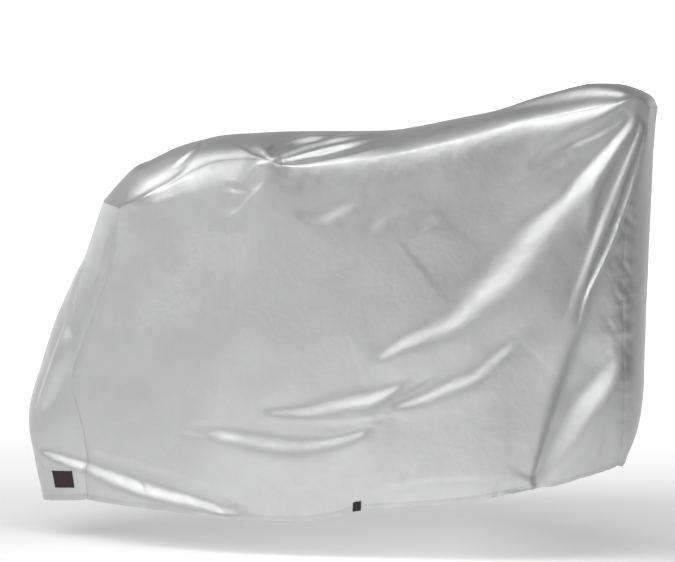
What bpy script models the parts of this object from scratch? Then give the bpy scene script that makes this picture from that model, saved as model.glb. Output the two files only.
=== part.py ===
"""A fitted cover of silver cloth, long and low with a high back, as it hangs in use.

Metres, +Z up. +X runs along the cover to its tail, and -Y is the cover's left side. The tables
give heights above the ground. The finished pieces are lowered so that the origin lies on the
underside of the cloth, at mid-length on the centre plane, where the cover is held up.
"""

import bpy
import numpy as np

# Driving dimensions
CLOTH = 0.0016  # thickness of the coated cloth
SEAM_GAP = 0.00030  # how far a panel's edge is drawn back from its seam line
LAID_ON = 0.0004  # clearance under what is laid on the cloth
PATCH = 0.0010  # thickness of the label patch
WEBBING = 0.0016  # thickness of the webbing tab
TAB_WIDTH = 0.024
TAB_HEIGHT = 0.026
TAB_BELOW_HEM = 0.002
TAB_PLACE = 0.532  # the tab's middle, as a share of the side's hem from the front

# Grid lines of the panels, as shares of a seam's length or of a gusset's half width. The label
# patch fills the spaces between two lines up the front gusset and three across it.
ALONG = 52
FRONT_SPACES = 0.42  # this share of the spaces along a seam
FRONT_LENGTH = 0.56  # covers this share of its length, so that the lines are closer at the rear
LABEL_UP = (0.042, 0.098)
LABEL_ACROSS = (-0.895, -0.770, -0.645)
UP = np.r_[0, LABEL_UP[0], np.linspace(LABEL_UP[1], 1, 27)]
ACROSS = np.r_[-1, LABEL_ACROSS, -0.33, 0, 0.33, 0.645, 0.85, 1]

# Seam lines on the left side, as (x, half width, height). The right side mirrors them.
HEM = (
    (-0.741, 0.095, 0.126),
    (-0.592, 0.150, 0.123),
    (-0.433, 0.180, 0.117),
    (-0.257, 0.200, 0.108),
    (-0.076, 0.205, 0.110),
    (0.020, 0.205, 0.125),
    (0.088, 0.205, 0.148),
    (0.205, 0.203, 0.160),
    (0.330, 0.196, 0.172),
    (0.459, 0.185, 0.193),
    (0.649, 0.145, 0.236),
    (0.803, 0.085, 0.278),
)
TOP_SEAM = (
    (-0.604, 0.190, 0.985),
    (-0.526, 0.176, 1.023),
    (-0.446, 0.173, 1.067),
    (-0.352, 0.190, 1.114),
    (-0.238, 0.245, 1.136),
    (-0.163, 0.285, 1.134),
    (-0.080, 0.280, 1.117),
    (0.010, 0.265, 1.124),
    (0.201, 0.245, 1.159),
    (0.363, 0.225, 1.192),
    (0.551, 0.200, 1.238),
    (0.740, 0.190, 1.276),
    (0.806, 0.182, 1.290),
    (0.848, 0.172, 1.299),
    (0.869, 0.163, 1.288),
    (0.885, 0.155, 1.271),
)
FRONT_SEAM = (
    (-0.741, 0.095, 0.126),
    (-0.744, 0.110, 0.300),
    (-0.758, 0.115, 0.380),
    (-0.780, 0.120, 0.486),
    (-0.743, 0.135, 0.585),
    (-0.704, 0.143, 0.673),
    (-0.640, 0.165, 0.829),
    (-0.604, 0.190, 0.985),
)
REAR_SEAM = (
    (0.803, 0.085, 0.278),
    (0.814, 0.108, 0.341),
    (0.816, 0.130, 0.442),
    (0.817, 0.140, 0.535),
    (0.822, 0.146, 0.632),
    (0.820, 0.150, 0.748),
    (0.823, 0.153, 0.926),
    (0.841, 0.155, 1.022),
    (0.862, 0.155, 1.130),
    (0.885, 0.155, 1.271),
)

# Centre lines of the gussets, as (x, height)
NOSE = (
    (-0.904, 0.106),
    (-0.930, 0.230),
    (-0.946, 0.330),
    (-0.938, 0.410),
    (-0.905, 0.510),
    (-0.875, 0.600),
    (-0.845, 0.675),
    (-0.795, 0.777),
    (-0.763, 0.836),
    (-0.724, 0.940),
    (-0.700, 1.000),
)
RIDGE = (
    (-0.700, 1.000),
    (-0.660, 1.047),
    (-0.610, 1.096),
    (-0.569, 1.115),
    (-0.493, 1.150),
    (-0.420, 1.172),
    (-0.314, 1.192),
    (-0.121, 1.201),
    (0.010, 1.203),
    (0.141, 1.206),
    (0.227, 1.218),
    (0.313, 1.235),
    (0.427, 1.258),
    (0.595, 1.303),
    (0.679, 1.327),
    (0.725, 1.336),
    (0.790, 1.335),
    (0.845, 1.319),
    (0.878, 1.298),
    (0.888, 1.272),
)
TAIL = (
    (0.812, 0.272),
    (0.845, 0.360),
    (0.860, 0.460),
    (0.866, 0.620),
    (0.869, 0.750),
    (0.875, 0.930),
    (0.882, 1.150),
    (0.888, 1.272),
)
# How square each gusset's arch is: 2 is round, and more is flatter in the middle
NOSE_ROUNDNESS = 2.2
TOP_ROUNDNESS = 1.8
TAIL_ROUNDNESS = 3.0

# What pushes the cloth out on both sides, as (x, height, reach along, reach up, out)
BULGES = (
    (-0.42, 0.99, 0.17, 0.11, 0.045),  # at the front corner
    (-0.165, 1.120, 0.045, 0.035, 0.014),  # the bump at the top seam
)

# Main folds, seen from the side, as (path of (x, height), half width at its start, half width at
# its end, rise, right share). A rise below 0 is a trough, and the right side has that share of it.
FOLDS = (
    # Down from the corner of the high back
    (((0.84, 1.26), (0.77, 1.17), (0.67, 1.06), (0.54, 0.92), (0.41, 0.78)), 0.032, 0.080, -0.015, 0.7),
    (((0.85, 1.27), (0.80, 1.17), (0.73, 1.06), (0.67, 0.96), (0.60, 0.86), (0.50, 0.77), (0.36, 0.68),
      (0.20, 0.61)), 0.032, 0.065, 0.018, 0.7),
    (((0.86, 1.26), (0.81, 1.16), (0.76, 1.05), (0.73, 0.93), (0.70, 0.81), (0.66, 0.69)),
     0.028, 0.050, -0.014, 0.6),
    (((0.87, 1.23), (0.84, 1.10), (0.80, 0.97), (0.75, 0.82), (0.69, 0.66)), 0.030, 0.045, 0.010, 0.0),
    (((0.87, 1.19), (0.85, 1.02), (0.79, 0.82), (0.72, 0.60), (0.66, 0.42), (0.58, 0.22)),
     0.030, 0.065, -0.015, 0.6),
    (((0.82, 0.64), (0.78, 0.52), (0.71, 0.41), (0.63, 0.30), (0.58, 0.20)), 0.040, 0.065, 0.018, 0.6),
    (((0.82, 0.55), (0.78, 0.42), (0.74, 0.29)), 0.035, 0.050, -0.008, 0.0),
    (((0.84, 1.29), (0.72, 1.23), (0.61, 1.17), (0.49, 1.09)), 0.030, 0.060, -0.011, 0.5),
    (((0.83, 1.30), (0.74, 1.28), (0.60, 1.25), (0.44, 1.22)), 0.026, 0.030, -0.006, 0.5),
    # Round the bump at the top seam
    (((-0.15, 1.13), (-0.08, 1.16), (0.03, 1.18), (0.12, 1.19)), 0.028, 0.036, 0.010, 0.8),
    (((-0.13, 1.12), (-0.04, 1.13), (0.07, 1.15), (0.21, 1.17)), 0.026, 0.032, -0.009, 0.8),
    (((-0.15, 1.12), (-0.19, 1.05), (-0.23, 1.01), (-0.29, 0.96)), 0.035, 0.055, -0.013, 0.7),
    (((-0.30, 1.17), (-0.23, 1.15), (-0.17, 1.14)), 0.040, 0.030, -0.014, 0.8),
    (((-0.10, 1.19), (-0.12, 1.15)), 0.036, 0.028, -0.010, 0.8),
    # Over the front corner
    (((-0.60, 1.00), (-0.53, 1.03), (-0.45, 1.07), (-0.36, 1.12)), 0.032, 0.040, -0.014, 0.8),
    (((-0.59, 1.04), (-0.52, 1.08), (-0.44, 1.13)), 0.036, 0.040, 0.008, 0.5),
    (((-0.40, 1.16), (-0.43, 1.13), (-0.49, 1.10)), 0.034, 0.036, -0.010, 0.3),
    # Slack low in the middle
    (((-0.40, 0.36), (-0.24, 0.36), (-0.10, 0.36), (0.00, 0.36), (0.10, 0.39)), 0.050, 0.050, -0.012, 0.5),
    (((-0.35, 0.30), (-0.20, 0.29), (0.00, 0.29), (0.13, 0.34)), 0.055, 0.055, 0.012, 0.5),
    (((-0.16, 0.42), (-0.03, 0.44), (0.11, 0.46), (0.23, 0.53)), 0.045, 0.045, 0.010, 0.5),
    (((0.14, 0.39), (0.22, 0.42), (0.34, 0.48), (0.44, 0.54), (0.55, 0.62), (0.61, 0.70)),
     0.050, 0.060, 0.013, 0.5),
    (((0.02, 0.96), (0.10, 0.97), (0.20, 1.03)), 0.050, 0.050, -0.005, 0.5),
    # Across the foot of the nose
    (((-0.86, 0.24), (-0.74, 0.21), (-0.56, 0.18), (-0.41, 0.15), (-0.27, 0.10)), 0.045, 0.045, 0.012, 0.6),
    (((-0.84, 0.28), (-0.69, 0.27), (-0.49, 0.24), (-0.31, 0.20)), 0.045, 0.045, -0.009, 0.6),
    (((-0.82, 0.63), (-0.86, 0.48), (-0.88, 0.36)), 0.045, 0.045, 0.009, 0.8),
    (((-0.77, 0.59), (-0.81, 0.48), (-0.83, 0.38)), 0.045, 0.045, -0.011, 0.8),
)


def smooth_line(rows, shares):
    """Points at these shares of the length of a smooth line through the rows."""
    knots = np.array(rows, float)
    ends = np.vstack([2 * knots[0] - knots[1], knots, 2 * knots[-1] - knots[-2]])
    steps = np.linspace(0, 1, 24, endpoint=False)[:, None]
    dense = []
    for before, start, end, after in zip(ends, ends[1:], ends[2:], ends[3:]):
        dense.append(
            0.5
            * (
                2 * start
                + (end - before) * steps
                + (2 * before - 5 * start + 4 * end - after) * steps**2
                + (3 * start - before - 3 * end + after) * steps**3
            )
        )
    dense = np.vstack(dense + [knots[-1:]])
    run = np.r_[0, np.cumsum(np.linalg.norm(np.diff(dense, axis=0), axis=1))]
    return np.column_stack([np.interp(shares, run / run[-1], axis) for axis in dense.T])


def seam(rows, shares):
    """The left seam line as x, y, z."""
    return smooth_line(rows, shares) * (1, -1, 1)


def side_panel(along, up):
    """The left side, stretched smoothly between its four seam lines."""
    ends = np.array([0.0, 1.0])
    hem, top = seam(HEM, along)[:, None], seam(TOP_SEAM, along)[:, None]
    front, rear = seam(FRONT_SEAM, up)[None], seam(REAR_SEAM, up)[None]
    hem_ends, top_ends = seam(HEM, ends), seam(TOP_SEAM, ends)
    s, t = along[:, None, None], up[None, :, None]
    front_chord = (1 - t) * hem_ends[0] + t * top_ends[0]
    rear_chord = (1 - t) * hem_ends[1] + t * top_ends[1]
    return (1 - t) * hem + t * top + (1 - s) * (front - front_chord) + s * (rear - rear_chord)


def gusset(rows, centre, run, across, roundness):
    """A strip that arches from the left seam line over the centre line to the right one."""
    edge = seam(rows, run)[:, None]
    middle = smooth_line(centre, run)[:, None]
    arch = 1 - np.abs(across)[None, :] ** np.broadcast_to(roundness, run.shape)[:, None]
    x = edge[..., 0] + (middle[..., 0] - edge[..., 0]) * arch
    z = edge[..., 2] + (middle[..., 1] - edge[..., 2]) * arch
    return np.stack([x, -edge[..., 1] * across[None, :], z], axis=-1)


def bulge_heights(points):
    """How far what is under the cloth pushes it out at these points."""
    heights = np.zeros(points.shape[:-1])
    for x, height, along, up, out in BULGES:
        apart = ((points[..., 0] - x) / along) ** 2 + ((points[..., 2] - height) / up) ** 2
        heights += out * np.exp(-apart)
    return heights


def ease(value):
    """Smoothly from 0 to 1."""
    share = np.clip(value, 0, 1)
    return share * share * (3 - 2 * share)


def fold_heights(points):
    """How far the folds push the cloth out at these points, on the left and on the right."""
    place = points[..., [0, 2]]
    heights = np.zeros((2,) + place.shape[:-1])
    for path, half_width_from, half_width_to, rise, right_share in FOLDS:
        line = smooth_line(path, np.linspace(0, 1, 13))
        nearest = np.full(place.shape[:-1], np.inf)
        along = np.zeros_like(nearest)
        for index, (start, end) in enumerate(zip(line, line[1:])):
            run = end - start
            share = np.clip((place - start) @ run / (run @ run), 0, 1)
            apart = np.linalg.norm(place - start - share[..., None] * run, axis=-1)
            closer = apart < nearest
            nearest[closer] = apart[closer]
            along[closer] = (index + share[closer]) / (len(line) - 1)
        half_width = half_width_from + (half_width_to - half_width_from) * along
        profile = 0.5 + 0.5 * np.cos(np.pi * np.clip(nearest / half_width, 0, 1))
        heights += np.multiply.outer((rise, rise * right_share), profile)
    return heights


def outward(panels):
    """Each point's normal, one and the same where panels meet at a seam."""
    meeting = {}
    own = {}
    for name, points in panels.items():
        normal = np.cross(np.gradient(points, axis=0), np.gradient(points, axis=1))
        own[name] = normal / np.linalg.norm(normal, axis=-1, keepdims=True)
        for key, value in zip(places(points), own[name].reshape(-1, 3)):
            meeting[key] = meeting.get(key, 0) + value
    for name, points in panels.items():
        sums = np.array([meeting[key] for key in places(points)])
        own[name] = (sums / np.linalg.norm(sums, axis=-1, keepdims=True)).reshape(points.shape)
    return own


def places(points):
    return [tuple(place) for place in np.round(points.reshape(-1, 3), 6) + 0.0]


def drawn_back(points, distance):
    """The grid with its outermost lines moved in towards the next ones."""
    points = points.copy()
    for edge, inner in ((0, 1), (-1, -2)):
        step = points[inner] - points[edge]
        points[edge] += step * distance / np.linalg.norm(step, axis=-1, keepdims=True)
        step = points[:, inner] - points[:, edge]
        points[:, edge] += step * distance / np.linalg.norm(step, axis=-1, keepdims=True)
    return points


def sheet(name, outer, inner, material):
    """A closed sheet between two grids of points, the outer one on the side that faces out."""
    rows, columns = outer.shape[:2]
    number = np.arange(rows * columns).reshape(rows, columns)
    a, b, c, d = number[:-1, :-1], number[1:, :-1], number[1:, 1:], number[:-1, 1:]
    skin = np.concatenate([np.stack([a, b, c], -1), np.stack([a, c, d], -1)]).reshape(-1, 3)
    under = number.size
    rim = np.concatenate([number[:-1, 0], number[-1, :-1], number[:0:-1, -1], number[0, :0:-1]])
    following = np.roll(rim, -1)
    wall = np.concatenate(
        [
            np.stack([following, rim, rim + under], -1),
            np.stack([following, rim + under, following + under], -1),
        ]
    )
    triangles = np.concatenate([skin, skin[:, ::-1] + under, wall])
    corners = np.concatenate([outer.reshape(-1, 3), inner.reshape(-1, 3)])
    mesh = bpy.data.meshes.new(name)
    mesh.from_pydata(corners - (0, 0, HELD_HEIGHT), [], triangles.tolist())
    mesh.shade_smooth()
    mesh.set_sharp_from_angle(angle=np.radians(50))
    mesh.materials.append(material)
    piece = bpy.data.objects.new(name, mesh)
    bpy.context.scene.collection.objects.link(piece)
    return piece


def cloth_material(name, colour, roughness, metallic):
    material = bpy.data.materials.new(name)
    material.use_nodes = True
    surface = material.node_tree.nodes["Principled BSDF"]
    surface.inputs["Base Color"].default_value = (*colour, 1)
    surface.inputs["Roughness"].default_value = roughness
    surface.inputs["Metallic"].default_value = metallic
    return material


for left_over in list(bpy.data.objects):
    bpy.data.objects.remove(left_over)

ridge = smooth_line(RIDGE, np.linspace(0, 1, 400))
HELD_HEIGHT = float(np.interp(0, ridge[:, 0], ridge[:, 1])) - CLOTH

silver = cloth_material("silver_cloth", (0.66, 0.67, 0.67), 0.40, 0.55)
label = cloth_material("label_patch", (0.035, 0.022, 0.026), 0.55, 0.0)
webbing = cloth_material("black_webbing", (0.012, 0.011, 0.012), 0.60, 0.0)

# The five panels of the cover, before they are folded
along = np.interp(np.linspace(0, 1, ALONG + 1), [0, FRONT_SPACES, 1], [0, FRONT_LENGTH, 1])
top_roundness = np.interp(
    along, [0, 0.12, 0.88, 1], [NOSE_ROUNDNESS, TOP_ROUNDNESS, TOP_ROUNDNESS, TAIL_ROUNDNESS]
)
left = side_panel(along, UP)
smooth = {
    "side_left": left,
    "side_right": left[::-1] * (1, -1, 1),
    "top_gusset": gusset(TOP_SEAM, RIDGE, along, ACROSS, top_roundness),
    "front_gusset": gusset(FRONT_SEAM, NOSE, UP, ACROSS, NOSE_ROUNDNESS),
    "rear_gusset": gusset(REAR_SEAM, TAIL, UP, ACROSS, TAIL_ROUNDNESS)[:, ::-1],
}
sidedness = {
    "side_left": -1.0,
    "side_right": 1.0,
    "top_gusset": ACROSS,
    "front_gusset": ACROSS,
    "rear_gusset": ACROSS[::-1],
}
smooth_normals = outward(smooth)
folded = {}
for name, points in smooth.items():
    on_left, on_right = fold_heights(points)
    from_left = ease(0.5 + 2 * sidedness[name])
    height = on_left * (1 - from_left) + on_right * from_left
    height += bulge_heights(points) * ease(np.abs(sidedness[name]))
    folded[name] = points + smooth_normals[name] * height[..., None]
normals = outward(folded)
for name, points in folded.items():
    outer = drawn_back(points, SEAM_GAP)
    inner = drawn_back(points - normals[name] * CLOTH, SEAM_GAP)
    sheet(name, outer, inner, silver)

# Label patch, sewn flat on the left of the front gusset
rows = np.isin(UP, LABEL_UP)
columns = np.isin(ACROSS, LABEL_ACROSS)
under_label = folded["front_gusset"][rows][:, columns]
label_out = normals["front_gusset"][rows][:, columns]
sheet("label_patch", under_label + label_out * (LAID_ON + PATCH), under_label + label_out * LAID_ON, label)

# Webbing tab, sewn over the middle of the left hem
hem_line = seam(HEM, np.linspace(0, 1, 400))
hem_length = np.linalg.norm(np.diff(hem_line, axis=0), axis=1).sum()
half_share = TAB_WIDTH / 2 / hem_length
tab_along = TAB_PLACE + half_share * np.array([-1, 0, 1])
tab_points = side_panel(tab_along, np.array([0, 0.5, 1]) * TAB_HEIGHT)
tab_down = tab_points[:, 0] - tab_points[:, -1]
tab_points[:, 0] += TAB_BELOW_HEM * tab_down / np.linalg.norm(tab_down, axis=-1, keepdims=True)
tab_out = outward({"tab": tab_points})["tab"]
sheet("hem_tab", tab_points + tab_out * (LAID_ON + WEBBING), tab_points + tab_out * LAID_ON, webbing)
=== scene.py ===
import itertools

import bpy
import numpy as np
from mathutils import Matrix, Vector


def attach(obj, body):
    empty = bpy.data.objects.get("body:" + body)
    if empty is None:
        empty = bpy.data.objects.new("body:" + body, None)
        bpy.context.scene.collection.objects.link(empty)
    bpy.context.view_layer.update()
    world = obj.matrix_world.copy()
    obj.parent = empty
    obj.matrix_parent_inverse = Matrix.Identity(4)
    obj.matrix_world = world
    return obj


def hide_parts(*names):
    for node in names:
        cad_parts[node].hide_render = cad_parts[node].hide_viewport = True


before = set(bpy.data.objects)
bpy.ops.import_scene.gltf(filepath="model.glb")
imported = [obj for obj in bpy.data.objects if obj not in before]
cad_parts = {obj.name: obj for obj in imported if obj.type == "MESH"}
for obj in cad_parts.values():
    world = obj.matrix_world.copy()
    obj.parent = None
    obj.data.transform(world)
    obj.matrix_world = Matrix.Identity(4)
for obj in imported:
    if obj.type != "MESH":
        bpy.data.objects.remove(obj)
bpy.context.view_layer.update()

# ------------------------------------------------------------------------------------------------
# The cover's cloth: two sides and the gussets over the top, the nose and the tail. Thin polyester
# with a silver coating, cut to shape and sewn edge to edge, with its hem turned up. It is held up
# at its front corner, at a bump on each side and at its high back, and falls in folds between them.

SEWN_GAP = 0.00015  # how far a panel's edge stays from its seam line
CLOTH_AT_EDGE = 0.0011
CLOTH_INSIDE = 0.0030
EDGE_LINES = 12  # grid lines from a panel's edge to its full thickness
HEM_WIDTH = 0.0150
HEM_THICKER = 0.0007
FROM_HEM = 0.0125  # from the hem's fold to its stitches, which draw the cloth in
STITCHES_DRAW = 0.0005
SHARP_EDGE = 62  # degrees

# Seam lines on the left, as (x, half width, height above the ground). The right side mirrors them.
HEM = (
    (-0.741, 0.095, 0.126), (-0.592, 0.150, 0.123), (-0.433, 0.180, 0.117),
    (-0.257, 0.200, 0.108), (-0.076, 0.205, 0.110), (0.020, 0.205, 0.125),
    (0.088, 0.205, 0.148), (0.205, 0.203, 0.160), (0.330, 0.196, 0.172),
    (0.459, 0.185, 0.193), (0.649, 0.145, 0.236), (0.803, 0.085, 0.278),
)
TOP_SEAM = (
    (-0.604, 0.190, 0.985), (-0.526, 0.176, 1.023), (-0.446, 0.173, 1.067),
    (-0.352, 0.190, 1.114), (-0.238, 0.245, 1.136), (-0.163, 0.285, 1.134),
    (-0.080, 0.280, 1.117), (0.010, 0.265, 1.124), (0.201, 0.245, 1.159),
    (0.363, 0.225, 1.192), (0.551, 0.200, 1.238), (0.740, 0.190, 1.276),
    (0.806, 0.182, 1.290), (0.848, 0.172, 1.299), (0.869, 0.163, 1.288),
    (0.885, 0.155, 1.271),
)
FRONT_SEAM = (
    (-0.741, 0.095, 0.126), (-0.744, 0.110, 0.300), (-0.758, 0.115, 0.380),
    (-0.780, 0.120, 0.486), (-0.743, 0.135, 0.585), (-0.704, 0.143, 0.673),
    (-0.640, 0.165, 0.829), (-0.604, 0.190, 0.985),
)
REAR_SEAM = (
    (0.803, 0.085, 0.278), (0.814, 0.108, 0.341), (0.816, 0.130, 0.442),
    (0.817, 0.140, 0.535), (0.822, 0.146, 0.632), (0.820, 0.150, 0.748),
    (0.823, 0.153, 0.926), (0.841, 0.155, 1.022), (0.862, 0.155, 1.130),
    (0.885, 0.155, 1.271),
)
# Centre lines of the gussets, as (x, height above the ground)
NOSE = (
    (-0.904, 0.106), (-0.930, 0.230), (-0.946, 0.330), (-0.938, 0.410), (-0.905, 0.510),
    (-0.875, 0.600), (-0.845, 0.675), (-0.795, 0.777), (-0.763, 0.836), (-0.724, 0.940),
    (-0.700, 1.000),
)
RIDGE = (
    (-0.700, 1.000), (-0.660, 1.047), (-0.610, 1.096), (-0.569, 1.115), (-0.493, 1.150),
    (-0.420, 1.172), (-0.314, 1.192), (-0.121, 1.201), (0.010, 1.203), (0.141, 1.206),
    (0.227, 1.218), (0.313, 1.235), (0.427, 1.258), (0.595, 1.303), (0.679, 1.327),
    (0.725, 1.336), (0.790, 1.335), (0.845, 1.319), (0.878, 1.298), (0.888, 1.272),
)
TAIL = (
    (0.812, 0.272), (0.845, 0.360), (0.860, 0.460), (0.866, 0.620), (0.869, 0.750),
    (0.875, 0.930), (0.882, 1.150), (0.888, 1.272),
)
NOSE_ROUNDNESS = 2.2
TOP_ROUNDNESS = 1.8
TAIL_ROUNDNESS = 3.0

# What pushes the cloth out, as (x, height, reach along, reach up, out)
BULGES = (
    (-0.40, 1.075, 0.17, 0.10, 0.009),
    (-0.165, 1.120, 0.045, 0.035, 0.014),
)

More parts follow.
